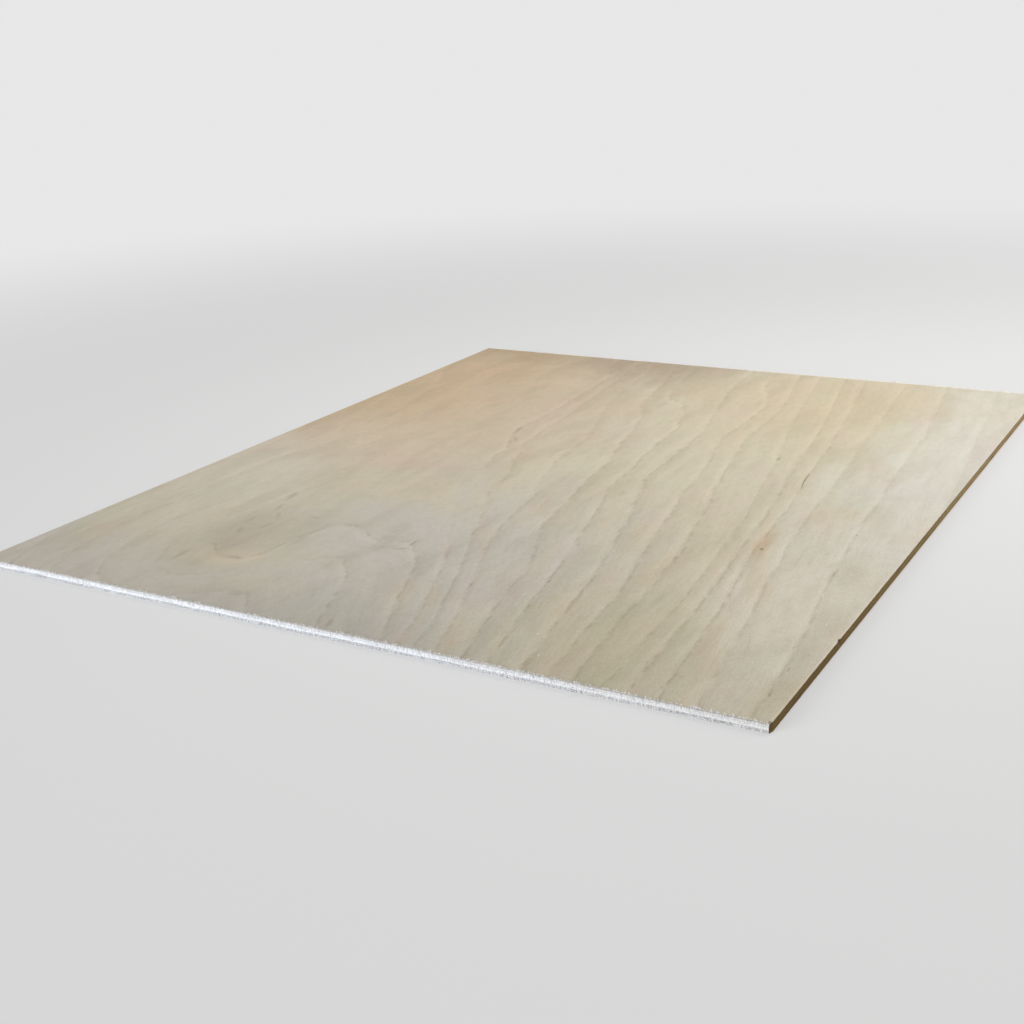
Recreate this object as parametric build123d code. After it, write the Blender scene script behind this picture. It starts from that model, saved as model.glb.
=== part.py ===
from build123d import *
import os

# A cut sheet of thin three-ply plywood, lying flat with its good face up.
# Millimetres. X runs across the face grain, Y along it, and Z through the thickness.
# The origin is the middle of the underside.

# Overall size of the sheet, as sawn
sheet_width = 300.0
sheet_length = 360.0

# Veneers, from the underside up. The core's grain runs across that of the two outer veneers.
back_veneer_thickness = 0.95
core_veneer_thickness = 1.10
face_veneer_thickness = 0.95

# Knock in the long edge on the +X side. It has chipped the face veneer and bruised the core.
nick_from_near_corner = 58.0
nick_length = 2.4
nick_depth = 0.55
nick_depth_in_core = 0.25


def sheet_outline(depth_of_nick=0.0):
    """The sawn rectangle, with the knock bitten out of its +X edge where a depth is given."""
    right = sheet_width / 2
    front = -sheet_length / 2
    with BuildSketch() as outline:
        Rectangle(sheet_width, sheet_length)
        if depth_of_nick > 0:
            nick_start = front + nick_from_near_corner - nick_length / 2
            nick_end = nick_start + nick_length
            with BuildLine():
                ThreePointArc(
                    (right, nick_start),
                    (right - depth_of_nick, nick_start + nick_length / 2),
                    (right, nick_end),
                )
                Line((right, nick_end), (right, nick_start))
            make_face(mode=Mode.SUBTRACT)
    return outline.sketch


def veneer(thickness, underside, depth_of_nick=0.0):
    """One peeled veneer, lying on the glue line below it."""
    return Pos(0, 0, underside) * extrude(sheet_outline(depth_of_nick), amount=thickness)


core_underside = back_veneer_thickness
face_underside = core_underside + core_veneer_thickness

veneers = {
    "back_veneer": veneer(back_veneer_thickness, 0.0),
    "core_veneer": veneer(core_veneer_thickness, core_underside, nick_depth_in_core),
    "face_veneer": veneer(face_veneer_thickness, face_underside, nick_depth),
}

os.makedirs("parts", exist_ok=True)
for name, solid in veneers.items():
    solid.label = name
    export_step(solid, os.path.join("parts", name + ".step"))
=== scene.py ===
import bpy
import math
import random
import numpy as np
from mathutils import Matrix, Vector, noise


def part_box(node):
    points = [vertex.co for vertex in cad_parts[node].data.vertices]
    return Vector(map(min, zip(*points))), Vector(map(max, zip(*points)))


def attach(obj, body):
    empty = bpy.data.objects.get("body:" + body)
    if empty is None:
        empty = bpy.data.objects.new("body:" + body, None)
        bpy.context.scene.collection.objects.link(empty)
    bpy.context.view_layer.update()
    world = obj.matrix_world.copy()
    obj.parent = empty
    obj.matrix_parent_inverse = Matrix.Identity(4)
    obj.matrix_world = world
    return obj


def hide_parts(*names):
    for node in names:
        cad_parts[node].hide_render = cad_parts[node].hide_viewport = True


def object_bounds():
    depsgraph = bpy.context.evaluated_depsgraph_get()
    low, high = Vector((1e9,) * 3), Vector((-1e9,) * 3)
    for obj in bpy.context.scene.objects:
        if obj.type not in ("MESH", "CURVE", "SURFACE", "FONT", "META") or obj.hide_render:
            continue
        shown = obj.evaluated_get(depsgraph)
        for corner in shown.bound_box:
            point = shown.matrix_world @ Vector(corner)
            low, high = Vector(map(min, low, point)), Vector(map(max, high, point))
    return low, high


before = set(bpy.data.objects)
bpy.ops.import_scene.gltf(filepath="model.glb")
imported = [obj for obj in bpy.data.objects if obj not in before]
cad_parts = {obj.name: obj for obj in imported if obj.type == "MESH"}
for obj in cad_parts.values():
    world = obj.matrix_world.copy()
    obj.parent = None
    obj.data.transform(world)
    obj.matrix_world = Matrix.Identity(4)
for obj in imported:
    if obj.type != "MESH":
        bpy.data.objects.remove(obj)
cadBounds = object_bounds()
bpy.context.scene.view_settings.view_transform = "Standard"
mm = 0.001
sheetLow, sheetHigh = cadBounds
print("frame loaded, sheet", [round(side / mm, 2) for side in sheetHigh - sheetLow], "mm")


# Camera: low and near the right front corner, looking along the sheet towards its back left.
cameraSetup = {
    "place": (0.2627, -0.4972, 0.1804),
    "turn": (70.73, 2.46, 29.85),
    "lens": 49.76,
}
cameraTurn = [math.radians(angle) for angle in cameraSetup["turn"]]
bpy.ops.object.camera_add(location=cameraSetup["place"], rotation=cameraTurn)
camera = bpy.context.object
camera.name = "camera"
camera.data.lens = cameraSetup["lens"]
bpy.context.scene.camera = camera
print("camera placed")


# Small helpers for meshes

def clearSelection():
    if bpy.context.object and bpy.context.object.mode != "OBJECT":
        bpy.ops.object.mode_set(mode="OBJECT")
    bpy.ops.object.select_all(action="DESELECT")


def makeActive(piece):
    clearSelection()
    piece.select_set(True)
    bpy.context.view_layer.objects.active = piece


def pickFaces(piece, wanted):
    # leaves edit mode on with just the faces picked for which wanted(centre, normal) is true
    makeActive(piece)
    bpy.ops.object.mode_set(mode="EDIT")
    bpy.ops.mesh.select_mode(type="FACE")
    bpy.ops.mesh.select_all(action="DESELECT")
    bpy.ops.object.mode_set(mode="OBJECT")
    for face in piece.data.polygons:
        face.select = wanted(face.center, face.normal)
    bpy.ops.object.mode_set(mode="EDIT")


def readPoints(mesh):
    points = np.zeros(len(mesh.vertices) * 3)
    mesh.vertices.foreach_get("co", points)
    return points.reshape(-1, 3)


def writePoints(mesh, points):
    mesh.vertices.foreach_set("co", points.ravel())
    mesh.update()


# Small helpers for materials. Places in them are in millimetres.

def fromScreen(color):
    # a colour as it looks on the screen, 0 to 255, to the linear one that the shader takes
    linear = []
    for channel in color:
        share = channel / 255
        linear.append(share / 12.92 if share < 0.04045 else ((share + 0.055) / 1.055) ** 2.4)
    return (*linear, 1.0)


def addNode(tree, kind, sockets, **settings):
    made = tree.nodes.new("ShaderNode" + kind)
    for name, value in settings.items():
        setattr(made, name, value)
    for socket, value in sockets.items():
        if isinstance(value, bpy.types.NodeSocket):
            tree.links.new(value, made.inputs[socket])
        else:
            made.inputs[socket].default_value = value
    return made


def calc(tree, operation, first, second=0.0):
    return addNode(tree, "Math", {0: first, 1: second}, operation=operation).outputs[0]


def times(tree, first, *others):
    for other in others:
        first = calc(tree, "MULTIPLY", first, other)
    return first


def fade(tree, value, start, end):
    # 0 at start and before it, 1 at end and past it, smooth between
    sockets = {"Value": value, "From Min": start, "From Max": end}
    return addNode(tree, "MapRange", sockets, interpolation_type="SMOOTHSTEP").outputs[0]


def spread(tree, value, low, high):
    # takes 0..1 to low..high
    sockets = {"Value": value, "To Min": low, "To Max": high}
    return addNode(tree, "MapRange", sockets).outputs[0]


def mixColors(tree, amount, first, second, way="MIX"):
    sockets = {0: amount, 6: first, 7: second}
    return addNode(tree, "Mix", sockets, data_type="RGBA", blend_type=way).outputs[2]


def placeInMm(tree):
    place = addNode(tree, "TexCoord", {}).outputs["Object"]
    return addNode(tree, "VectorMath", {0: place, "Scale": 1 / mm}, operation="SCALE").outputs[0]


def noiseNode(tree, place, size, detail, roughness):
    # noise whose blotches are about size millimetres along X, Y and Z
    stretched = addNode(tree, "VectorMath", {0: place, 1: size}, operation="DIVIDE").outputs[0]
    sockets = {"Vector": stretched, "Scale": 1.0, "Detail": detail, "Roughness": roughness}
    return addNode(tree, "TexNoise", sockets)


def grainNoise(tree, place, size, detail=2.0, roughness=0.5):
    return noiseNode(tree, place, size, detail, roughness).outputs["Fac"]


def threeNoises(tree, place, size, detail=2.0, roughness=0.5):
    # three patterns of the same kind that have nothing to do with each other
    color = noiseNode(tree, place, size, detail, roughness).outputs["Color"]
    return addNode(tree, "SeparateColor", {0: color}).outputs[:3]


def readAttribute(tree, name):
    return addNode(tree, "Attribute", {}, attribute_name=name).outputs["Fac"]


def newMaterial(name):
    material = bpy.data.materials.new(name)
    material.use_nodes = True
    material.node_tree.nodes.clear()
    return material, material.node_tree


def finishMaterial(tree, color, roughness, height, depth, shine=0.5, sheen=0.0):
    # height runs 0..1, and depth is how deep that is in millimetres
    bump = addNode(tree, "Bump", {"Strength": 1.0, "Distance": depth * mm, "Height": height})
    sockets = {
        "Base Color": color,
        "Roughness": roughness,
        "Normal": bump.outputs[0],
        "Specular IOR Level": shine,
        "Sheen Weight": sheen,
    }
    wood = addNode(tree, "BsdfPrincipled", sockets)
    addNode(tree, "OutputMaterial", {"Surface": wood.outputs[0]})


# The growth rings as they cross the good face, in millimetres. Each has its number, how plainly it shows,
# and the points that it passes through from back to front. They were picked from the photograph.
# Another program then moved them by up to 3 mm and rounded them, when the camera was fitted again. It did
# the same to the places of the split, the knot, half of the patches and most marks and loose fibres.
faceRings = [
    (6, 0.4, [(-130, -119.5), (-128, -39.5), (-119.5, -13.5), (-107.5, -10.5)]),
    (7, 0.5, [(-148, 134), (-131.5, 94.5), (-123, 60)]),
    (7, 0.4, [(-61, -178), (-48, -168), (-38.5, -165), (-28.5, -178)]),
    (8, 0.1, [(-117.5, 176), (-109, 60), (-102.5, 0.5), (-99, -59.5), (-100, -121.5)]),
    (8, 0.4, [(-93, -145), (-87, -158), (-73, -163)]),
    (8, 0.1, [(-57, -152), (-40.5, -136)]),
    (8, 0.6, [(-28.5, -126.5), (-16.5, -140), (1.5, -180)]),
    (9, 0.1, [(-82, 177), (-76.5, 120), (-79, 60.5), (-87.5, 0.5)]),
    (9, 0.3, [(-90, -69), (-91.5, -91.5), (-85, -128.5)]),
    (9, 0.7, [(-75, -139), (-65, -143), (-57.5, -136), (-53.5, -102.5), (-44.5, -97), (-22, -110.5),
              (-14, -103), (-1, -119.5), (24, -178)]),
    (9.4, 0.0, [(-64.5, 110), (-67.5, 20.5), (-64, -29), (-72.5, -89.5)]),
    (10, 0.8, [(-64, 164), (-53, 138), (-50.5, 80.5), (-51, 45.5), (-49.5, 32), (-39.5, 12)]),
    (10, 0.1, [(-32.5, -19), (-18, -67), (-5, -91)]),
    (11, 0.7, [(-52, 177), (-37, 23), (-20.5, -24), (-19, -39), (15, -113), (33, -163), (36, -178)]),
    (12, 0.7, [(-45, 177), (-40.5, 158), (-32, 95.5), (-15, 41), (-11.5, 3), (-3.5, -28), (2.5, -38),
               (6.5, -71), (11, -89), (35, -150), (44, -178)]),
    (13, 0.8, [(-31.5, 177), (-22.5, 138), (-18, 99.5), (-9, 84.5), (-5, 72), (9, 9), (22.5, -74),
               (35.5, -103), (53.5, -176)]),
    (14, 0.85, [(-20.5, 177), (-13, 124.5), (-8, 113), (0, 109), (6, 98.5), (16, 69), (20.5, 16.5),
                (25.5, -20.5), (45, -95), (62.5, -178)]),
    (15, 0.85, [(10.5, 178), (13.5, 133), (29, 65), (32, 1.5), (47.5, -48.5), (64.5, -123),
                (73.5, -178)]),
    (16, 0.8, [(21.5, 178), (26.5, 150), (37.5, 125.5), (40.5, 111), (40, 63), (48, 29.5), (66, -73),
               (77, -121), (82.5, -178)]),
    (17, 0.9, [(35.5, 178), (48, 118), (49, 63.5), (78.5, -73.5), (89, -172)]),
    (18, 0.7, [(46.5, 178), (59.5, 99), (72.5, 41.5), (87, -34.5), (97, -111), (100.5, -172)]),
    (19, 0.9, [(59.5, 178), (78, 76.5), (81.5, 36.5), (93.5, -32.5), (102.5, -111), (106.5, -172)]),
    (20, 0.9, [(69, 178), (87.5, 63.5), (90.5, 28.5), (98.5, -28.5), (100.5, -58.5), (108.5, -102),
               (117, -172)]),
    (21, 0.7, [(88.5, 179), (111.5, -58.5), (128.5, -175)]),
    (22, 0.8, [(108.5, 179), (118.5, 99.5), (130.5, -58.5), (139, -117), (144.5, -175)]),
    (23, 0.6, [(132.5, 179), (150, 4), (153, -58.5)]),
]


# How the rings are filled in between the drawn ones: a point every few millimetres along each, how far
# the plate may miss them, and the limits of the gap between rings and of how many the grain crosses
ringPlate = {"step": 9, "slack": 20, "nudge": 0.5, "gaps": (3, 60), "steepest": 0.12}


def pointsAlong(corners, step):
    points = []
    for start, end in zip(corners, corners[1:]):
        run = math.dist(start, end)
        count = max(1, round(run / step))
        for index in range(count):
            share = index / count
            points.append([a + (b - a) * share for a, b in zip(start, end)])
    points.append(list(corners[-1]))
    return points


def plateKernel(distance):
    return distance ** 2 * np.log(distance + 1e-9)


def farFrom(places, points):
    return np.hypot(places[:, None, 0] - points[None, :, 0], places[:, None, 1] - points[None, :, 1])


def smoothThrough(points, values, slack):
    # a thin plate bent through scattered heights, so that rings between two drawn ones follow both
    count = len(points)
    system = np.zeros((count + 3, count + 3))
    system[:count, :count] = plateKernel(farFrom(points, points)) + slack * np.eye(count)
    system[:count, count] = 1
    system[:count, count + 1:] = points
    system[count:, :count] = system[:count, count:].T
    weights = np.linalg.solve(system, np.append(values, (0, 0, 0)))

    def heightAt(places):
        bent = plateKernel(farFrom(places, points)) @ weights[:count]
        return bent + weights[count] + places @ weights[count + 1:]

    return heightAt


def addRingAttributes(piece, rings):
    # each vertex learns which ring it lies on, how far apart the rings are there, how many of them
    # a millimetre along the grain crosses, and how plain they are
    points = []
    numbers = []
    strengths = []
    for number, strength, corners in rings:
        samples = pointsAlong(corners, ringPlate["step"])
        points += samples
        numbers += [number] * len(samples)
        strengths += [strength] * len(samples)
    points = np.array(points)
    ringAt = smoothThrough(points, np.array(numbers, float), ringPlate["slack"])
    places = readPoints(piece.data)[:, :2] / mm
    number = ringAt(places)
    nudge = ringPlate["nudge"]
    slopeX = (ringAt(places + (nudge, 0)) - number) / nudge
    slopeY = (ringAt(places + (0, nudge)) - number) / nudge
    gap = np.clip(1 / (np.hypot(slopeX, slopeY) + 1e-6), *ringPlate["gaps"])
    climb = np.clip(slopeY, -ringPlate["steepest"], ringPlate["steepest"])
    weights = 1 / (farFrom(places, points) ** 3 + 1)
    strength = weights @ np.array(strengths) / weights.sum(axis=1)
    found = {"ringNumber": number, "ringGap": gap, "ringClimb": climb, "ringStrength": strength}
    for name, values in found.items():
        attribute = piece.data.attributes.new(name, "FLOAT", "POINT")
        attribute.data.foreach_set("value", values)
    return number


# Veneers: one thin solid each, a fine grid on its broad faces and finer columns round its sawn edges
veneers = {
    "faceVeneer": {"node": "face_veneer", "gridStep": 1.7, "edgeCuts": 3, "chamfer": 0.08, "ragged": 0.14,
                   "cornerWear": 0.50, "cornerReach": 1.7, "swell": 0.012},
    "coreVeneer": {"node": "core_veneer", "gridStep": 3.0, "edgeCuts": 5, "chamfer": 0.03, "ragged": 0.10,
                   "cornerWear": 0.52, "cornerReach": 1.8},
    "backVeneer": {"node": "back_veneer", "gridStep": 2.5, "edgeCuts": 4, "chamfer": 0.03, "ragged": 0.14,
                   "cornerWear": 0.54, "cornerReach": 1.9},
}


def buildVeneer(name):
    look = veneers[name]
    low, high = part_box(look["node"])
    width, length, thickness = high - low
    middle = (low + high) / 2
    clearSelection()
    bpy.ops.mesh.primitive_grid_add(
        x_subdivisions=round(width / mm / look["gridStep"]),
        y_subdivisions=round(length / mm / look["gridStep"]),
        size=1,
        location=(middle.x, middle.y, low.z),
    )
    piece = bpy.context.object
    piece.name = name
    bpy.ops.object.mode_set(mode="EDIT")
    bpy.ops.transform.resize(value=(width, length, 1), center_override=(middle.x, middle.y, low.z))
    chamfer = look["chamfer"] * mm
    for rise in (thickness - chamfer, chamfer):
        bpy.ops.mesh.extrude_region_move(TRANSFORM_OT_translate={"value": (0, 0, rise)})
    shrink = ((width - 2 * chamfer) / width, (length - 2 * chamfer) / length, 1)
    bpy.ops.transform.resize(value=shrink, center_override=(middle.x, middle.y, high.z))
    bpy.ops.mesh.select_all(action="SELECT")
    bpy.ops.mesh.normals_make_consistent(inside=False)
    bpy.ops.object.mode_set(mode="OBJECT")
    bpy.ops.object.transform_apply(location=True, rotation=True, scale=True)
    pickFaces(piece, lambda centre, normal: abs(normal.z) < 0.5)
    bpy.ops.mesh.subdivide(number_cuts=look["edgeCuts"])
    bpy.ops.object.mode_set(mode="OBJECT")
    return piece


def roughenEdges(piece, look):
    # the saw leaves the cross-cut ends ragged and the two long edges a little less so, and the corner
    # at the right front is worn back
    low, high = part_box(look["node"])
    points = readPoints(piece.data)
    for index, (x, y, z) in enumerate(points):
        endness = abs(y) > high.y - 0.5 * look["chamfer"] * mm
        sideness = abs(x) > high.x - 0.5 * look["chamfer"] * mm
        if endness:
            wave = noise.noise(Vector((x / (0.7 * mm), y, z / (0.5 * mm))))
            points[index, 1] -= math.copysign(abs(wave) * look["ragged"] * mm, y)
        if sideness:
            wave = noise.noise(Vector((x, y / (1.6 * mm), z / (0.35 * mm))))
            points[index, 0] -= math.copysign(abs(wave) * look["ragged"] * 0.8 * mm, x)
        fromCorner = math.hypot(x - sheetHigh.x, y - sheetLow.y) / (look["cornerReach"] * mm)
        points[index, 0] -= look["cornerWear"] * mm * max(0, 1 - fromCorner) ** 0.8
    writePoints(piece.data, points)


def assignByPlace(piece, slots):
    # slots is a list of (material, test on a face's centre and normal), the first is the default
    for material, wanted in slots:
        piece.data.materials.append(material)
    for slotIndex, (material, wanted) in enumerate(slots):
        if wanted is None:
            continue
        pickFaces(piece, wanted)
        piece.active_material_index = slotIndex
        bpy.ops.object.material_slot_assign()
        bpy.ops.object.mode_set(mode="OBJECT")


def isEnd(centre, normal):
    return abs(normal.z) <= 0.8 and abs(normal.y) > abs(normal.x)


def isSide(centre, normal):
    return abs(normal.z) <= 0.8 and abs(normal.x) >= abs(normal.y)


# Good face: pale birch veneer with its rings, grain, patches of colour, a pin knot and a few marks, with
# painted shade and sheen among the patches and a painted highlight along the right arris.
# Tints are multiplied in, so 1 leaves the wood as it is.
faceLook = {
    "base": (216, 207, 183),
    "bandTint": (0.87, 0.857, 0.825),
    "paleTint": (1.07, 1.07, 1.08),
    "lineTint": (0.715, 0.685, 0.61),
    "streakTint": (0.92, 0.905, 0.87),
    "hairTint": (0.94, 0.93, 0.915),
    "mottleTint": (0.95, 0.94, 0.92),
    "cloudTint": (0.935, 0.93, 0.915),
    "fibreTint": (0.90, 0.885, 0.86),
    "gritTint": (1.05, 1.05, 1.055),
    "vesselTint": (0.66, 0.62, 0.54),
    "pinkTint": (1.02, 0.985, 0.985),
    "greenTint": (0.975, 1.0, 0.985),
    "mauveTint": (1.0, 0.97, 1.01),
    # painted highlight along the right arris near the front
    "arrisHighlightTint": (1.15, 1.13, 1.09),
    "markColor": (112, 88, 60),
    "splitColor": (100, 94, 72),
    "lineWidth": 2.0,
    "bandWidth": 8.0,
    "paleWidth": 6.0,
    "nearCorner": {"at": (150, -180), "size": (100, 100)},
    "knotHalo": {"at": (101.5, -54.5), "size": (4, 17), "turn": 4, "tint": (0.95, 0.85, 0.78)},
    "patches": [
        {"at": (-123, 95), "size": (88, 125), "color": (217, 190, 155), "amount": 0.95},
        # painted shade at the back left corner
        {"at": (-130, 186), "size": (60, 36), "color": (191, 164, 129), "amount": 0.8},
        {"at": (-154, 60), "size": (20, 130), "color": (207, 184, 147), "amount": 0.5},
        # painted shade along the back edge
        {"at": (-38, 185), "size": (58, 62), "color": (180, 162, 138), "amount": 0.9},
        {"at": (-90, 130), "size": (26, 30), "color": (203, 180, 149), "amount": 0.5},
        {"at": (-52, 70), "size": (50, 85), "color": (211, 194, 171), "amount": 0.65},
        {"at": (61, 131), "size": (70, 78), "color": (216, 201, 171), "amount": 0.85},
        # paler wood along the right edge, partly a painted sheen
        {"at": (142, 22), "size": (38, 200), "color": (225, 221, 209), "amount": 0.9},
        {"at": (-114, 1), "size": (46, 40), "color": (224, 206, 182), "amount": 0.7},
        {"at": (-127, -67), "size": (40, 58), "color": (226, 218, 199), "amount": 0.8},
        {"at": (2, -114), "size": (68, 76), "color": (211, 205, 195), "amount": 0.95},
        {"at": (-8, -180), "size": (92, 26), "color": (197, 192, 182), "amount": 0.8},
        {"at": (-123, -170), "size": (60, 42), "color": (210, 202, 191), "amount": 0.85},
        {"at": (120, -106), "size": (34, 42), "color": (229, 221, 202), "amount": 0.6},
        {"at": (93, -158), "size": (24, 46), "color": (205, 197, 170), "amount": 0.75},
        {"at": (-77, -125), "size": (20, 30), "color": (194, 185, 164), "amount": 0.75},
    ],
}

# A short drying split beside the nineteenth and twentieth rings, and the hollow of the pin knot
faceSplit = {"start": (90.8, 27.6), "end": (93.9, 8.1), "bow": 0.6, "width": 0.28, "depth": 0.3}
knotHollow = {"at": (103, -60.4), "size": (0.7, 1.4), "depth": 0.25}

# Dark marks on the good face: where, half width, half length, turn in degrees, how dark, how soft.
# The last twelve lie on specks that another program found in the photograph.
faceMarks = [
    {"at": knotHollow["at"], "size": (0.6, 1.3), "turn": 8, "dark": 0.7, "soft": 0.7},
    {"at": (72.7, 40.5), "size": (0.8, 2.4), "turn": 12, "dark": 0.35, "soft": 0.8},
    {"at": (17.4, 42.2), "size": (0.7, 3.0), "turn": 8, "dark": 0.25, "soft": 0.9},
    {"at": (-11.4, 13.1), "size": (0.6, 4.0), "turn": 5, "dark": 0.22, "soft": 0.9},
    {"at": (-50.3, 38.8), "size": (1.0, 5.0), "turn": 6, "dark": 0.3, "soft": 0.9},
    {"at": (-44.4, 25.9), "size": (1.0, 4.0), "turn": 35, "dark": 0.25, "soft": 0.9},
    {"at": (-28.5, -4), "size": (1.0, 5.0), "turn": 30, "dark": 0.15, "soft": 0.9},
    {"at": (-19.7, -26.9), "size": (0.9, 6.0), "turn": 5, "dark": 0.15, "soft": 0.9},
    {"at": (-88.3, -78.3), "size": (1.2, 5.0), "turn": 12, "dark": 0.3, "soft": 0.9},
    {"at": (-84.4, -91.3), "size": (0.9, 4.5), "turn": 20, "dark": 0.2, "soft": 0.9},
    {"at": (-78.5, -99.3), "size": (0.9, 4.0), "turn": 30, "dark": 0.2, "soft": 0.9},
    {"at": (-75.6, -110.4), "size": (0.9, 3.5), "turn": -10, "dark": 0.22, "soft": 0.9},
    {"at": (-85.6, -107.4), "size": (0.9, 5.0), "turn": 4, "dark": 0.2, "soft": 0.9},
    {"at": (-81.7, -118.4), "size": (1.1, 3.5), "turn": 25, "dark": 0.22, "soft": 0.9},
    {"at": (-64.4, -95.3), "size": (4.0, 0.9), "turn": -10, "dark": 0.15, "soft": 0.9},
    {"at": (-53.5, -117.4), "size": (1.2, 5.0), "turn": 0, "dark": 0.15, "soft": 0.9},
    {"at": (-12.8, -103.8), "size": (0.6, 3.2), "turn": 2, "dark": 0.4, "soft": 0.8},
    {"at": (-13.8, -110.2), "size": (2.0, 0.8), "turn": 30, "dark": 0.35, "soft": 0.8},
    {"at": (-20.6, -111), "size": (3.5, 4.5), "turn": -40, "dark": 0.16, "soft": 0.95},
    {"at": (-64.8, -141.6), "size": (4.0, 1.2), "turn": 0, "dark": 0.2, "soft": 0.9},
    {"at": (-84.9, -146.7), "size": (1.2, 6.0), "turn": 4, "dark": 0.22, "soft": 0.9},
    {"at": (-40.8, -167.8), "size": (4.0, 2.0), "turn": 20, "dark": 0.2, "soft": 0.95},
    {"at": (2.6, -174.9), "size": (1.0, 4.0), "turn": 20, "dark": 0.3, "soft": 0.9},
    {"at": (149.3, -178.9), "size": (0.35, 0.8), "turn": -15, "dark": 0.8, "soft": 0.6},
    {"at": (143.8, -164.2), "size": (0.35, 1.3), "turn": 12, "dark": 0.4, "soft": 0.8},
    {"at": (143.2, -146.9), "size": (0.35, 1.5), "turn": 8, "dark": 0.4, "soft": 0.8},
    {"at": (139.7, -132.2), "size": (0.3, 1.1), "turn": 6, "dark": 0.3, "soft": 0.8},
    {"at": (145.2, -135.7), "size": (0.3, 0.9), "turn": 0, "dark": 0.3, "soft": 0.8},
    {"at": (115.3, -172.2), "size": (0.3, 1.0), "turn": 10, "dark": 0.3, "soft": 0.8},
    {"at": (105.1, -159.3), "size": (0.3, 1.0), "turn": 5, "dark": 0.3, "soft": 0.8},
    {"at": (87.3, 63.9), "size": (0.5, 2.2), "turn": 8, "dark": 0.25, "soft": 0.8},
    {"at": (27.1, -129), "size": (0.5, 1.6), "turn": 15, "dark": 0.4, "soft": 0.8},
    {"at": (49.5, -116), "size": (0.4, 1.8), "turn": 12, "dark": 0.4, "soft": 0.8},
    {"at": (78.9, -79.5), "size": (0.4, 1.4), "turn": 8, "dark": 0.35, "soft": 0.8},
    {"at": (128.6, -34.6), "size": (0.4, 1.8), "turn": 8, "dark": 0.35, "soft": 0.8},
    {"at": (132.6, -72.9), "size": (0.4, 1.6), "turn": 8, "dark": 0.35, "soft": 0.8},
]


def tinted(tree, amount, color, tint):
    return mixColors(tree, amount, color, (*tint, 1.0), way="MULTIPLY")


def ringLuck(tree, number):
    # a chance value for each ring, 0..1
    sockets = {"W": calc(tree, "FLOOR", number)}
    return addNode(tree, "TexWhiteNoise", sockets, noise_dimensions="1D").outputs[0]


def ringMasks(tree, place):
    # where the face's rings show, each 0..1: the broken dark line, the band to its right and the pale
    # strip to its left, then two patterns of streaks and three of tints that keep step with the rings
    gap = readAttribute(tree, "ringGap")
    strength = readAttribute(tree, "ringStrength")
    across = addNode(tree, "SeparateXYZ", {0: place})

    # each bundle of fibres lies a little ahead of the next one or behind it, so that slanting rings
    # step from bundle to bundle while straight ones stay straight; all of them wander a little too
    steps = spread(tree, grainNoise(tree, place, (1.4, 12, 1.4), detail=3, roughness=0.6), -7, 7)
    nearFront = spread(tree, fade(tree, across.outputs[1], -150, -20), 0.35, 1.0)
    steps = times(tree, steps, readAttribute(tree, "ringClimb"), nearFront)
    broad = spread(tree, grainNoise(tree, place, (38, 52, 38)), -2.0, 2.0)
    fine = spread(tree, grainNoise(tree, place, (4, 8, 4), detail=5, roughness=0.7), -1.6, 1.6)
    fine = times(tree, fine, spread(tree, fade(tree, across.outputs[0], 100, 20), 0.4, 1.0))
    wander = calc(tree, "DIVIDE", calc(tree, "ADD", broad, fine), gap)
    number = calc(tree, "ADD", readAttribute(tree, "ringNumber"), calc(tree, "ADD", wander, steps))
    pastLine = times(tree, calc(tree, "FRACT", number), gap)
    beforeLine = calc(tree, "SUBTRACT", gap, pastLine)
    aside = calc(tree, "MINIMUM", pastLine, beforeLine)
    plain = times(tree, strength, spread(tree, ringLuck(tree, number), 0.6, 1.0))

    broken = fade(tree, grainNoise(tree, place, (3.5, 8, 3.5), detail=4, roughness=0.7), 0.38, 0.61)
    feather = grainNoise(tree, place, (0.5, 3.5, 0.5), detail=3, roughness=0.6)
    width = spread(tree, grainNoise(tree, place, (3, 8, 3), detail=3), 0.2, faceLook["lineWidth"])
    width = times(tree, width, spread(tree, feather, 0.4, 1.6))
    line = fade(tree, calc(tree, "DIVIDE", aside, width), 1.0, 0.0)
    nearness = spread(tree, fade(tree, across.outputs[1], -110, 110), 1.0, 0.55)
    line = times(tree, line, plain, broken, nearness)

    reach = calc(tree, "MINIMUM", gap, faceLook["bandWidth"])
    band = fade(tree, calc(tree, "DIVIDE", pastLine, reach), 1.0, 0.0)
    bandPatch = fade(tree, grainNoise(tree, place, (9, 34, 9), detail=3), 0.2, 0.65)
    band = times(tree, band, fade(tree, pastLine, -0.3, 1.1), plain, bandPatch, nearness)
    pale = fade(tree, beforeLine, faceLook["paleWidth"], 1.5)
    palePatch = fade(tree, grainNoise(tree, place, (11, 30, 11), detail=3), 0.2, 0.6)
    pale = times(tree, pale, fade(tree, beforeLine, 0.0, 1.6), strength, palePatch)

    ringPlace = {0: times(tree, number, 4.0), 1: calc(tree, "DIVIDE", across.outputs[1], 42)}
    ringPlace = addNode(tree, "CombineXYZ", ringPlace).outputs[0]
    streak = grainNoise(tree, ringPlace, (1, 1, 1), detail=5, roughness=0.68)
    hair = grainNoise(tree, ringPlace, (0.3, 0.6, 1), detail=3, roughness=0.6)
    drift = threeNoises(tree, ringPlace, (4.2, 0.9, 1), detail=3, roughness=0.5)
    return {"line": line, "band": band, "pale": pale, "streak": streak, "hair": hair, "drift": drift}


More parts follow.
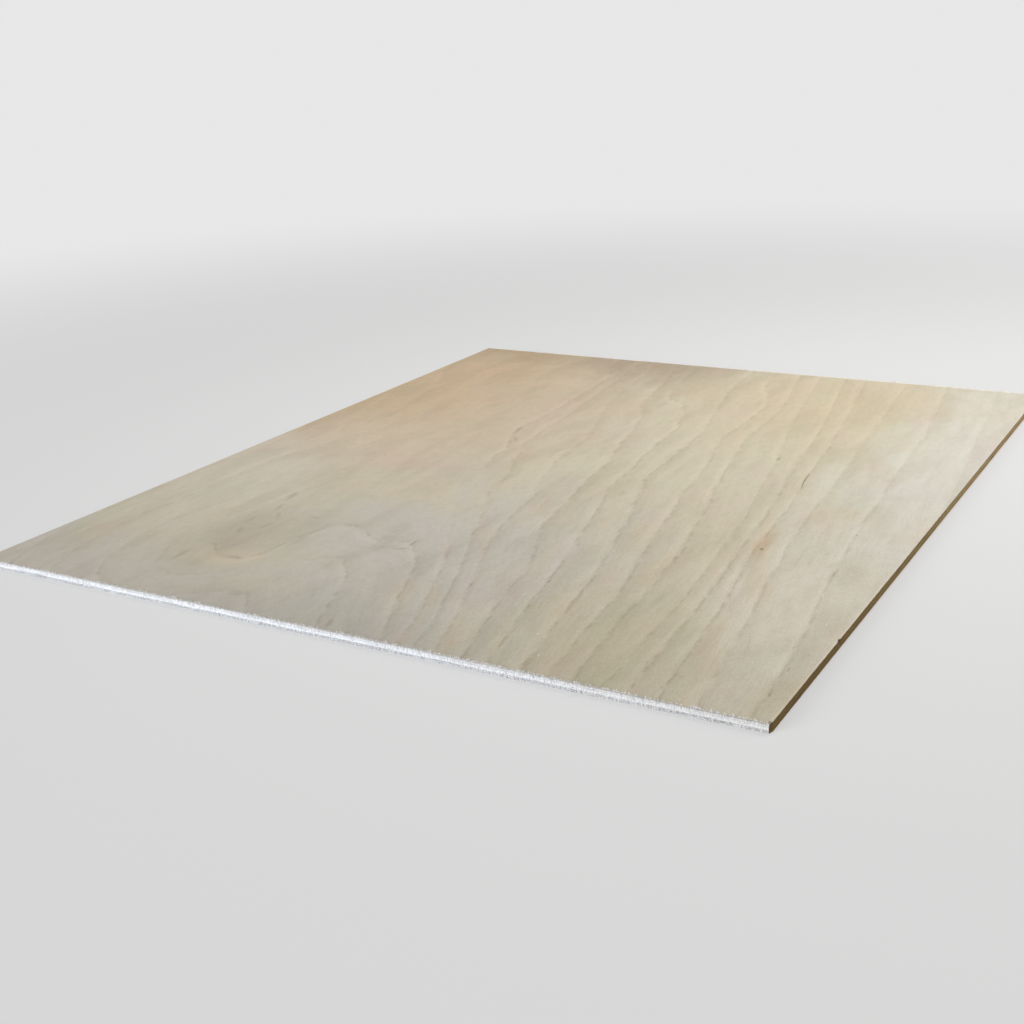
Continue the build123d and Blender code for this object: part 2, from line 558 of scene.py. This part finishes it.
def patchyBirch(tree, place, drift):
    # soft patches of tan, green, pink and grey, with edges that run with the rings; among them are
    # painted shade at the back and a partly painted sheen at the right
    color = fromScreen(faceLook["base"])
    ripple = spread(tree, drift[0], -0.8, 0.8)
    for patch in faceLook["patches"]:
        away = calc(tree, "ADD", awayFrom(tree, place, patch["at"], patch["size"]), ripple)
        amount = times(tree, fade(tree, away, 1.45, 0.2), patch["amount"])
        color = mixColors(tree, amount, color, fromScreen(patch["color"]))
    for pattern, tint in zip(drift, ("pinkTint", "greenTint", "mauveTint")):
        color = tinted(tree, fade(tree, pattern, 0.5, 0.72), color, faceLook[tint])
    return color


def awayFrom(tree, place, at, size, turn=0):
    # distance from a spot on the good face, as a share of the spot's own half width and half length
    sockets = {
        "Vector": place,
        "Location": (*at, sheetHigh.z / mm),
        "Rotation": (0, 0, math.radians(turn)),
        "Scale": (*size, 1),
    }
    local = addNode(tree, "Mapping", sockets, vector_type="TEXTURE").outputs[0]
    return addNode(tree, "VectorMath", {0: local}, operation="LENGTH").outputs["Value"]


def faceWood():
    material, tree = newMaterial("faceWood")
    place = placeInMm(tree)
    rings = ringMasks(tree, place)
    color = patchyBirch(tree, place, rings["drift"])
    mottle = grainNoise(tree, place, (3, 7, 3), detail=4, roughness=0.66)
    color = tinted(tree, fade(tree, mottle, 0.35, 0.75), color, faceLook["mottleTint"])
    cloud = grainNoise(tree, place, (10, 36, 10), detail=1)
    color = tinted(tree, fade(tree, cloud, 0.42, 0.68), color, faceLook["cloudTint"])
    # streaks are plain where the rings lie close, and faint at the left and the back
    axes = addNode(tree, "SeparateXYZ", {0: place})
    plain = spread(tree, fade(tree, axes.outputs[0], -60, 20), 0.4, 1.0)
    plain = times(tree, plain, spread(tree, fade(tree, axes.outputs[1], -60, 120), 1.0, 0.55))
    streak = times(tree, fade(tree, rings["streak"], 0.46, 0.8), plain)
    hair = times(tree, fade(tree, rings["hair"], 0.45, 0.75), plain)
    color = tinted(tree, streak, color, faceLook["streakTint"])
    color = tinted(tree, hair, color, faceLook["hairTint"])
    for layer in ("band", "pale", "line"):
        color = tinted(tree, rings[layer], color, faceLook[layer + "Tint"])

    # fibres and the dark dashes of cut vessels run with the grain, plainest at the right front corner
    corner = faceLook["nearCorner"]
    near = fade(tree, awayFrom(tree, place, corner["at"], corner["size"]), 2.6, 0.3)
    rough = spread(tree, near, 0.5, 2.0)
    fibre = grainNoise(tree, place, (0.55, 1.6, 0.5), detail=3, roughness=0.7)
    vessel = fade(tree, grainNoise(tree, place, (0.3, 4.5, 0.3), detail=2), 0.58, 0.74)
    dull = times(tree, spread(tree, fibre, 1.75, -0.75), rough)
    color = tinted(tree, dull, color, faceLook["fibreTint"])
    grit = times(tree, fade(tree, grainNoise(tree, place, (0.5, 1.2, 0.5)), 0.35, 0.65), near)
    color = tinted(tree, grit, color, faceLook["gritTint"])
    color = tinted(tree, times(tree, vessel, 0.35), color, faceLook["vesselTint"])

    # a painted highlight along the right arris, near the front, broken up by the fibre pattern
    atRight = fade(tree, axes.outputs[0], 149, 149.6)
    arrisHighlight = times(tree, atRight, spread(tree, fibre, 0.2, 1.6), fade(tree, axes.outputs[1], -20, -130))
    color = tinted(tree, arrisHighlight, color, faceLook["arrisHighlightTint"])

    # knot halo, knot, marks and split
    halo = faceLook["knotHalo"]
    aroundKnot = fade(tree, awayFrom(tree, place, halo["at"], halo["size"], halo["turn"]), 1.3, 0.1)
    color = tinted(tree, aroundKnot, color, halo["tint"])
    ragged = spread(tree, grainNoise(tree, place, (1.1, 2.2, 1.1), detail=3), -0.6, 0.6)
    for mark in faceMarks:
        away = calc(tree, "ADD", awayFrom(tree, place, mark["at"], mark["size"], mark["turn"]), ragged)
        spot = fade(tree, away, 1 + 0.6 * mark["soft"], 1 - mark["soft"])
        spot = times(tree, spot, mark["dark"])
        color = mixColors(tree, spot, color, fromScreen(faceLook["markColor"]))
    split = times(tree, splitMask(tree, place), 0.8)
    color = mixColors(tree, split, color, fromScreen(faceLook["splitColor"]))

    height = calc(tree, "SUBTRACT", times(tree, fibre, 0.6), times(tree, vessel, 0.2))
    finishMaterial(tree, color, spread(tree, mottle, 0.44, 0.58), height, depth=0.04, shine=0.3)
    return material


def splitFrame():
    # the split's start, its direction, the direction across it and its length
    start = Vector(faceSplit["start"])
    run = Vector(faceSplit["end"]) - start
    along = run.normalized()
    across = Vector((along.y, -along.x))
    return start, along, across, run.length


def splitMask(tree, place):
    start, along, across, length = splitFrame()
    fromStart = addNode(tree, "VectorMath", {0: place, 1: (*start, 0)}, operation="SUBTRACT").outputs[0]
    travel = addNode(tree, "VectorMath", {0: fromStart, 1: (*along, 0)}, operation="DOT_PRODUCT")
    travel = calc(tree, "DIVIDE", travel.outputs["Value"], length)
    aside = addNode(tree, "VectorMath", {0: fromStart, 1: (*across, 0)}, operation="DOT_PRODUCT")
    lens = times(tree, travel, calc(tree, "SUBTRACT", 1.0, travel))
    bow = times(tree, lens, 4 * faceSplit["bow"])
    aside = calc(tree, "ABSOLUTE", calc(tree, "SUBTRACT", aside.outputs["Value"], bow))
    halfWidth = times(tree, calc(tree, "SQRT", calc(tree, "MAXIMUM", lens, 0)), faceSplit["width"])
    inside = calc(tree, "SUBTRACT", halfWidth, aside)
    return fade(tree, inside, -0.05, 0.06)


# Sawn edges: the cross-cut ends are torn to a greyish white, duller at the right, and frayed under the
# good face, with painted shade in the gaps of the fray. The two long edges are browner, with painted
# light that makes them lighter towards the back. The last color of each is reached along the axis, 0 for
# X and
# 1 for Y, between the two places.
edgeLooks = {
    "faceEnds": {"color": (238, 239, 242), "streak": (192, 192, 196), "speck": (100, 98, 98),
                 "streakSize": (0.5, 2, 1.6), "speckSize": (0.34, 2, 0.4), "speckShare": 0.60,
                 "last": (225, 222, 219), "axis": 0, "between": (0, 150), "fray": 0.95, "glue": 0.2},
    "coreEnds": {"color": (249, 250, 253), "streak": (196, 197, 202), "speck": (104, 102, 102),
                 "streakSize": (0.5, 2, 1.3), "speckSize": (0.36, 2, 0.4), "speckShare": 0.58,
                 "last": (234, 232, 230), "axis": 0, "between": (0, 150), "glue": 0.35},
    "backEnds": {"color": (220, 221, 225), "streak": (160, 160, 163), "speck": (80, 78, 76),
                 "streakSize": (0.5, 2, 1.6), "speckSize": (0.34, 2, 0.4), "speckShare": 0.55,
                 "last": (222, 220, 218), "axis": 0, "between": (0, 150), "glue": 0.4},
    # on the long edges the last colours are painted light, lighter towards the back
    "faceSides": {"color": (168, 142, 98), "streak": (134, 112, 74), "speck": (84, 66, 42),
                  "streakSize": (2, 12, 0.16), "speckSize": (2, 1.6, 0.1), "speckShare": 0.68,
                  "last": (226, 199, 154), "axis": 1, "between": (-150, 110), "glue": 0.75},
    "coreSides": {"color": (174, 144, 92), "streak": (120, 98, 62), "speck": (74, 58, 34),
                  "streakSize": (2, 0.5, 1.4), "speckSize": (2, 0.28, 0.22), "speckShare": 0.62,
                  "last": (236, 203, 154), "axis": 1, "between": (-165, 60), "glue": 0.75},
    "backSides": {"color": (182, 147, 84), "streak": (134, 106, 60), "speck": (84, 64, 36),
                  "streakSize": (2, 12, 0.16), "speckSize": (2, 1.6, 0.1), "speckShare": 0.68,
                  "last": (230, 190, 126), "axis": 1, "between": (-165, 60), "glue": 0.75},
}


# Colours of the painted shade in the frayed gaps at the left and at the right, and the warmer tint of the
# back end
frayLook = {"left": (170, 164, 157), "right": (154, 147, 138), "between": (20, 130),
            "backTint": (0.97, 0.92, 0.83)}


def edgeWood(name, look):
    material, tree = newMaterial(name)
    place = placeInMm(tree)
    axes = addNode(tree, "SeparateXYZ", {0: place})
    streak = grainNoise(tree, place, look["streakSize"], detail=3, roughness=0.6)
    wide = grainNoise(tree, place, (16, 16, 0.9), detail=3, roughness=0.6)
    speckNoise = grainNoise(tree, place, look["speckSize"], detail=2, roughness=0.6)
    speck = fade(tree, speckNoise, look["speckShare"], look["speckShare"] + 0.1)
    # on the long edges this is painted light, lighter towards the back; on the ends it makes them duller
    # at the right
    along = fade(tree, axes.outputs[look["axis"]], *look["between"])
    color = mixColors(tree, along, fromScreen(look["color"]), fromScreen(look["last"]))
    if look["axis"] == 0:
        color = tinted(tree, fade(tree, axes.outputs[1], 0, 150), color, frayLook["backTint"])
    color = mixColors(tree, fade(tree, streak, 0.38, 0.78), color, fromScreen(look["streak"]))
    color = mixColors(tree, fade(tree, wide, 0.52, 0.85), color, fromScreen(look["streak"]))
    color = mixColors(tree, times(tree, speck, 0.85), color, fromScreen(look["speck"]))
    # glue lines, where two veneers meet
    for joint in (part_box("core_veneer")[0].z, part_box("core_veneer")[1].z):
        away = calc(tree, "ABSOLUTE", calc(tree, "SUBTRACT", axes.outputs[2], joint / mm))
        glue = times(tree, fade(tree, away, 0.14, 0.03), fade(tree, wide, 0.3, 0.55), look["glue"])
        color = mixColors(tree, glue, color, fromScreen(look["speck"]))
    # painted shade in the gaps between the torn fibres, close under the good face
    gaps = grainNoise(tree, place, (0.34, 2, 3), detail=2, roughness=0.6)
    gaps = calc(tree, "ADD", axes.outputs[2], spread(tree, gaps, -1.3, 1.3))
    gaps = times(tree, fade(tree, gaps, 2.35, 3.0), look.get("fray", 0.0))
    right = fade(tree, axes.outputs[0], *frayLook["between"])
    frayShadeColor = mixColors(tree, right, fromScreen(frayLook["left"]), fromScreen(frayLook["right"]))
    color = mixColors(tree, gaps, color, frayShadeColor)
    height = calc(tree, "SUBTRACT", streak, speck)
    finishMaterial(tree, color, spread(tree, streak, 0.7, 0.9), height, depth=0.12, shine=0.2)
    return material


# Underside: the same birch as the good face, with wide plain rings, a little duller
underLook = {"base": (200, 186, 156), "shade": (180, 163, 130), "line": (158, 138, 104)}


def underWood():
    material, tree = newMaterial("underWood")
    place = placeInMm(tree)
    bend = grainNoise(tree, place, (60, 170, 60), detail=2)
    across = addNode(tree, "SeparateXYZ", {0: place}).outputs[0]
    number = calc(tree, "ADD", calc(tree, "DIVIDE", across, 17), spread(tree, bend, -4, 4))
    share = calc(tree, "FRACT", number)
    luck = ringLuck(tree, number)
    line = times(tree, fade(tree, share, 0.08, 0.0), spread(tree, luck, 0.3, 1.0))
    band = times(tree, fade(tree, share, 0.7, 0.0), spread(tree, luck, 0.2, 0.7))
    mottle = grainNoise(tree, place, (7, 14, 7), detail=4, roughness=0.6)
    fibre = grainNoise(tree, place, (0.5, 15, 0.5), detail=3, roughness=0.6)
    color = mixColors(tree, band, fromScreen(underLook["base"]), fromScreen(underLook["shade"]))
    color = mixColors(tree, spread(tree, mottle, 0.0, 0.5), color, fromScreen(underLook["shade"]))
    color = mixColors(tree, times(tree, line, 0.6), color, fromScreen(underLook["line"]))
    color = mixColors(tree, spread(tree, fibre, 0.3, 0.0), color, fromScreen(underLook["line"]))
    finishMaterial(tree, color, spread(tree, mottle, 0.5, 0.65), fibre, depth=0.05, shine=0.3)
    return material


edgeWoods = {name: edgeWood(name, look) for name, look in edgeLooks.items()}
print("edge materials made")


def cutKnot(piece):
    # finer faces round the knot, then its points pressed down
    knotX, knotY = [place * mm for place in knotHollow["at"]]
    halfX, halfY = [size * mm for size in knotHollow["size"]]

    def away(x, y):
        return math.hypot((x - knotX) / halfX, (y - knotY) / halfY)

    for cuts in (3, 1):
        pickFaces(piece, lambda centre, normal: normal.z > 0.5 and away(centre.x, centre.y) < 2)
        bpy.ops.mesh.subdivide(number_cuts=cuts)
    bpy.ops.object.mode_set(mode="OBJECT")
    points = readPoints(piece.data)
    for index, (x, y, z) in enumerate(points):
        if z > sheetHigh.z - 0.05 * mm:
            points[index, 2] -= knotHollow["depth"] * mm * math.exp(-2 * away(x, y) ** 2)
    writePoints(piece.data, points)


def cutSplit(piece):
    # finer faces along the split, then its points pressed down
    start, along, across, length = splitFrame()

    def local(x, y):
        away = Vector((x / mm, y / mm)) - start
        travel = away.dot(along) / length
        lens = travel * (1 - travel)
        aside = away.dot(across) - 4 * faceSplit["bow"] * lens
        return travel, lens, aside

    def nearSplit(centre, normal):
        travel, lens, aside = local(centre.x, centre.y)
        return normal.z > 0.5 and -0.1 < travel < 1.1 and abs(aside) < 1.6

    for cuts in (3, 2):
        pickFaces(piece, nearSplit)
        bpy.ops.mesh.subdivide(number_cuts=cuts)
    bpy.ops.object.mode_set(mode="OBJECT")
    points = readPoints(piece.data)
    for index, (x, y, z) in enumerate(points):
        if z < sheetHigh.z - 0.05 * mm:
            continue
        travel, lens, aside = local(x, y)
        if 0 < travel < 1 and abs(aside) < 1:
            halfWidth = math.sqrt(lens) * faceSplit["width"]
            share = min(1, 8 * lens * math.exp(-(aside / halfWidth) ** 2))
            points[index, 2] -= faceSplit["depth"] * mm * share
    writePoints(piece.data, points)


# Small piece knocked out of the right long edge, through the face veneer and into the core
edgeNick = {"y": -122.0, "length": 2.4, "depth": {"face_veneer": 0.55, "core_veneer": 0.25}, "reach": 1.5}


def cutNick(piece, node):
    depth = edgeNick["depth"].get(node, 0) * mm
    if not depth:
        return
    half = edgeNick["length"] * mm / 2
    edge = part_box(node)[1].x
    reach = edgeNick["reach"] * mm

    def nearNick(centre, normal):
        return centre.x > edge - reach and abs(centre.y - edgeNick["y"] * mm) < 2 * half

    pickFaces(piece, nearNick)
    bpy.ops.mesh.subdivide(number_cuts=3)
    bpy.ops.object.mode_set(mode="OBJECT")
    points = readPoints(piece.data)
    for index, (x, y, z) in enumerate(points):
        away = (y - edgeNick["y"] * mm) / half
        if x > edge - reach and abs(away) < 1:
            bite = depth * (1 - away ** 2)
            points[index, 0] = edge - reach + (x - edge + reach) * (reach - bite) / reach
    writePoints(piece.data, points)


def buildFaceVeneer():
    look = veneers["faceVeneer"]
    piece = buildVeneer("faceVeneer")
    cutNick(piece, look["node"])
    cutSplit(piece)
    cutKnot(piece)
    roughenEdges(piece, look)
    number = addRingAttributes(piece, faceRings)
    # the sanded face is not quite flat: it swells and dips a few hundredths between the rings
    points = readPoints(piece.data)
    inner = points[:, 2] > sheetHigh.z - 0.5 * look["chamfer"] * mm
    swell = look["swell"] * mm
    points[inner, 2] += swell * np.cos(2 * math.pi * number[inner]) - swell
    writePoints(piece.data, points)
    assignByPlace(piece, [
        (faceWood(), None),
        (edgeWoods["faceEnds"], isEnd),
        (edgeWoods["faceSides"], lambda centre, normal: isSide(centre, normal) and abs(normal.z) < 0.5),
    ])
    return piece


def buildCoreVeneer():
    look = veneers["coreVeneer"]
    piece = buildVeneer("coreVeneer")
    cutNick(piece, look["node"])
    roughenEdges(piece, look)
    assignByPlace(piece, [(edgeWoods["coreEnds"], None), (edgeWoods["coreSides"], isSide)])
    return piece


def buildBackVeneer():
    look = veneers["backVeneer"]
    piece = buildVeneer("backVeneer")
    roughenEdges(piece, look)
    assignByPlace(piece, [
        (underWood(), None),
        (edgeWoods["backEnds"], isEnd),
        (edgeWoods["backSides"], isSide),
    ])
    return piece


for build in (buildFaceVeneer, buildCoreVeneer, buildBackVeneer):
    piece = build()
    makeActive(piece)
    bpy.ops.object.shade_smooth_by_angle(angle=math.radians(35))
    node = veneers[piece.name]["node"]
    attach(piece, "root")
    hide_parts(node)
    print(piece.name, "built,", len(piece.data.polygons), "faces")


# Torn fibres: bent slivers that stand along the cross-cut arrises of the good face, and shorter ones
# on the ends of the back veneer. Lengths are in millimetres, the rise is in degrees.
tornFibres = {
    "rows": [
        {"height": (2.35, 2.78), "perMm": 9, "length": (0.44, 1.32), "thickness": (0.15, 0.34),
         "rise": (70, 90)},
        {"height": (1.20, 2.50), "perMm": 2.6, "length": (0.3, 0.9), "thickness": (0.16, 0.34),
         "rise": (35, 80)},
        {"height": (0.30, 0.95), "perMm": 2.6, "length": (0.2, 0.6), "thickness": (0.14, 0.30),
         "rise": (10, 60)},
    ],
    "root": 0.25,
    "sway": 9,
    "curl": 0.22,
    "tuft": 2.6,
    "bright": (247, 247, 248),
    "dull": (216, 215, 214),
    "backTint": (0.98, 0.94, 0.86),
}


def modelSliver(widths):
    # a straight three sided sliver, one long and one thick, that ends in a point
    clearSelection()
    bpy.ops.mesh.primitive_circle_add(vertices=3, radius=0.5, fill_type="NGON")
    sliver = bpy.context.object
    bpy.ops.object.mode_set(mode="EDIT")
    bpy.ops.mesh.select_all(action="SELECT")
    for width in widths:
        bpy.ops.mesh.extrude_region_move(TRANSFORM_OT_translate={"value": (0, 0, 1 / len(widths))})
        bpy.ops.transform.resize(value=(width, width, 1))
    bpy.ops.mesh.merge(type="CENTER")
    bpy.ops.mesh.select_all(action="SELECT")
    bpy.ops.mesh.normals_make_consistent(inside=False)
    bpy.ops.object.mode_set(mode="OBJECT")
    points = readPoints(sliver.data)
    faces = [tuple(face.vertices) for face in sliver.data.polygons]
    bpy.data.objects.remove(sliver)
    return points, faces


def fibreWood():
    material, tree = newMaterial("fibreWood")
    place = placeInMm(tree)
    tone, warm, cool = threeNoises(tree, place, (0.8, 0.8, 0.8))
    bright, dull = [fromScreen(tornFibres[shade]) for shade in ("bright", "dull")]
    color = mixColors(tree, fade(tree, tone, 0.3, 0.75), bright, dull)
    color = tinted(tree, fade(tree, warm, 0.5, 0.65), color, (1.0, 0.955, 0.94))
    color = tinted(tree, fade(tree, cool, 0.5, 0.65), color, (0.95, 0.98, 1.0))
    back = fade(tree, addNode(tree, "SeparateXYZ", {0: place}).outputs[1], 0, 150)
    color = tinted(tree, back, color, tornFibres["backTint"])
    finishMaterial(tree, color, 0.85, tone, depth=0.02, shine=0.2, sheen=0.2)
    return material


def turnSliver(points, root, heading, spin, thick, length, bend):
    sideways = heading.cross(Vector((0, 0, 1))).normalized()
    upward = sideways.cross(heading)
    across = sideways * math.cos(spin) + upward * math.sin(spin)
    along = heading.cross(across)
    shaped = points * (thick, thick, length)
    shaped[:, 0] += bend * length * points[:, 2] ** 2
    return shaped @ np.array([[*across], [*along], [*heading]]) + np.array(root)


def placeSliver(draw, row, side, x, bushy, coarse, points):
    # one sliver, turned, bent and set into the sawn end, side is -1 for the front and 1 for the back
    shortest, longest = row["length"]
    length = (shortest + (longest - shortest) * draw.random() ** 1.7) * bushy * mm
    thick = draw.uniform(*row["thickness"]) * coarse * mm
    rise = math.radians(draw.uniform(*row["rise"]))
    sway = math.radians(draw.gauss(0, tornFibres["sway"]))
    spin = draw.uniform(0, 2 * math.pi)
    bend = draw.gauss(0, tornFibres["curl"])
    level = math.cos(rise)
    heading = Vector((math.sin(sway) * level, side * math.cos(sway) * level, math.sin(rise)))
    root = Vector((x, side * (sheetHigh.y - tornFibres["root"] * mm), draw.uniform(*row["height"]) * mm))
    return turnSliver(points, root, heading, spin, thick, length, bend)


def buildFibres(name, side, material, seed):
    draw = random.Random(seed)
    points, faces = modelSliver((0.85, 0.6, 0.1))
    copies = []
    width = (sheetHigh.x - sheetLow.x) / mm
    for row in tornFibres["rows"]:
        for index in range(round(width * row["perMm"])):
            x = draw.uniform(sheetLow.x, sheetHigh.x - 0.4 * mm)
            tuft = noise.noise(Vector((x / (tornFibres["tuft"] * mm), 7.3 * side, seed)))
            bushy = min(1.25, max(0.7, 0.95 + 0.5 * tuft))
            coarse = 1 + 0.2 * min(1, max(0, x / (110 * mm)))  # thicker towards the right
            copies.append(placeSliver(draw, row, side, x, bushy, coarse, points))
    finishFibres(name, copies, faces, material)


def finishFibres(name, copies, faces, material):
    # the copies joined in one mesh
    allFaces = []
    for index, points in enumerate(copies):
        firstPoint = index * len(points)
        allFaces += [tuple(corner + firstPoint for corner in face) for face in faces]
    mesh = bpy.data.meshes.new(name)
    mesh.from_pydata(np.concatenate(copies), [], allFaces)
    piece = bpy.data.objects.new(name, mesh)
    bpy.context.collection.objects.link(piece)
    piece.data.materials.append(material)
    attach(piece, "root")
    print(name, "built,", len(allFaces), "faces")


# Bright crumbs of fibre lying on the good face near its front, and one torn up at the nick:
# where, length and thickness in millimetres, turn from the X axis and rise in degrees
looseFibres = [
    {"at": (74.5, -168.9), "length": 0.9, "thick": 0.34, "turn": 100, "rise": 15},
    {"at": (47.7, -130), "length": 1, "thick": 0.42, "turn": 80, "rise": 20},
    {"at": (66.6, -155.3), "length": 0.8, "thick": 0.32, "turn": 70, "rise": 15},
    {"at": (132.6, -147.4), "length": 0.7, "thick": 0.3, "turn": 95, "rise": 12},
    {"at": (143.3, -113.4), "length": 1.2, "thick": 0.4, "turn": 100, "rise": 12},
    {"at": (123, -177.4), "length": 0.8, "thick": 0.36, "turn": 75, "rise": 20},
    {"at": (149.6, -123.4), "length": 2.2, "thick": 0.34, "turn": 100, "rise": -8},
]


def buildLooseFibres(name, material):
    points, faces = modelSliver((0.9, 0.7, 0.1))
    copies = []
    for fibre in looseFibres:
        turn = math.radians(fibre["turn"])
        rise = math.radians(fibre["rise"])
        level = math.cos(rise)
        heading = Vector((math.cos(turn) * level, math.sin(turn) * level, math.sin(rise)))
        root = Vector((*fibre["at"], sheetHigh.z / mm + 0.05)) * mm
        size = (fibre["thick"] * mm, fibre["length"] * mm)
        copies.append(turnSliver(points, root, heading, 0.0, *size, bend=0.15))
    finishFibres(name, copies, faces, material)


fibreMaterial = fibreWood()
buildFibres("frontFibres", -1, fibreMaterial, seed=3)
buildFibres("backFibres", 1, fibreMaterial, seed=8)
buildLooseFibres("looseFibres", fibreMaterial)


# Floor and light: a pale plain floor, daylight from the front left, soft fills, and a low lamp behind
# for the back edge, which makes no gloss on the face
studio = {
    "floorColor": (232, 232, 230),
    "floorBounce": (150, 148, 144),
    "backdrop": 0.80,
    "ambient": 0.2,
    "lamps": [
        {"name": "windowLight", "place": (-1.0, -2.1, 0.38), "aim": (0, 0, 0), "size": 1.2, "power": 70,
         "color": (0.94, 0.97, 1.0)},
        {"name": "overheadLight", "place": (0.12, 0.14, 0.45), "aim": (0.12, 0.14, 0), "size": 0.3,
         "power": 1.15, "color": (1.0, 0.99, 0.97)},
        {"name": "doorLight", "place": (0.55, 0.45, 0.35), "aim": (0.1, 0.1, 0), "size": 0.3,
         "power": 1.3, "color": (1.0, 0.98, 0.95)},
        {"name": "backLight", "place": (0.0, 1.3, 0.06), "aim": (0, 0.18, 0), "size": 0.1,
         "power": 2.2, "color": (1.0, 0.98, 0.95), "glossy": False},
    ],
}


def seenAsBackdrop(tree):
    # 1 where the eye, a reflection or a view through glass meets the floor or the sky
    rays = addNode(tree, "LightPath", {})
    seen = calc(tree, "MAXIMUM", rays.outputs["Is Camera Ray"], rays.outputs["Is Glossy Ray"])
    return calc(tree, "MAXIMUM", seen, rays.outputs["Is Transmission Ray"])


def buildFloor():
    clearSelection()
    bpy.ops.mesh.primitive_plane_add(size=8, location=(0, 0, sheetLow.z))
    floor = bpy.context.object
    floor.name = "floor"
    material, tree = newMaterial("floorPaint")
    seen = seenAsBackdrop(tree)
    color = mixColors(tree, seen, fromScreen(studio["floorBounce"]), fromScreen(studio["floorColor"]))
    dull = {"Base Color": color, "Roughness": 0.9, "Specular IOR Level": 0.0}
    paint = addNode(tree, "BsdfPrincipled", dull)
    # the floor keeps its shadow near the sheet and turns into the plain backdrop further out
    glow = addNode(tree, "Emission", {"Color": (1, 1, 1, 1), "Strength": studio["backdrop"]})
    away = addNode(tree, "VectorMath", {0: placeInMm(tree)}, operation="LENGTH").outputs["Value"]
    share = times(tree, spread(tree, fade(tree, away, 250, 900), 0.55, 1.0), seen)
    surface = addNode(tree, "MixShader", {0: share, 1: paint.outputs[0], 2: glow.outputs[0]})
    addNode(tree, "OutputMaterial", {"Surface": surface.outputs[0]})
    floor.data.materials.append(material)


def buildWorld():
    world = bpy.data.worlds.new("studio")
    bpy.context.scene.world = world
    world.use_nodes = True
    tree = world.node_tree
    tree.nodes.clear()
    strength = spread(tree, seenAsBackdrop(tree), studio["ambient"], studio["backdrop"])
    sky = addNode(tree, "Background", {"Color": (1, 1, 1, 1), "Strength": strength})
    addNode(tree, "OutputWorld", {"Surface": sky.outputs[0]})


def addLamp(lamp):
    clearSelection()
    place = Vector(lamp["place"])
    aim = (Vector(lamp["aim"]) - place).to_track_quat("-Z", "Y").to_euler()
    bpy.ops.object.light_add(type="AREA", location=place, rotation=aim)
    light = bpy.context.object
    light.name = lamp["name"]
    light.data.size = lamp["size"]
    light.data.energy = lamp["power"]
    light.data.color = lamp["color"]
    light.visible_camera = False
    light.visible_glossy = lamp.get("glossy", True)


buildFloor()
buildWorld()
for lamp in studio["lamps"]:
    addLamp(lamp)
print("floor and lights set")
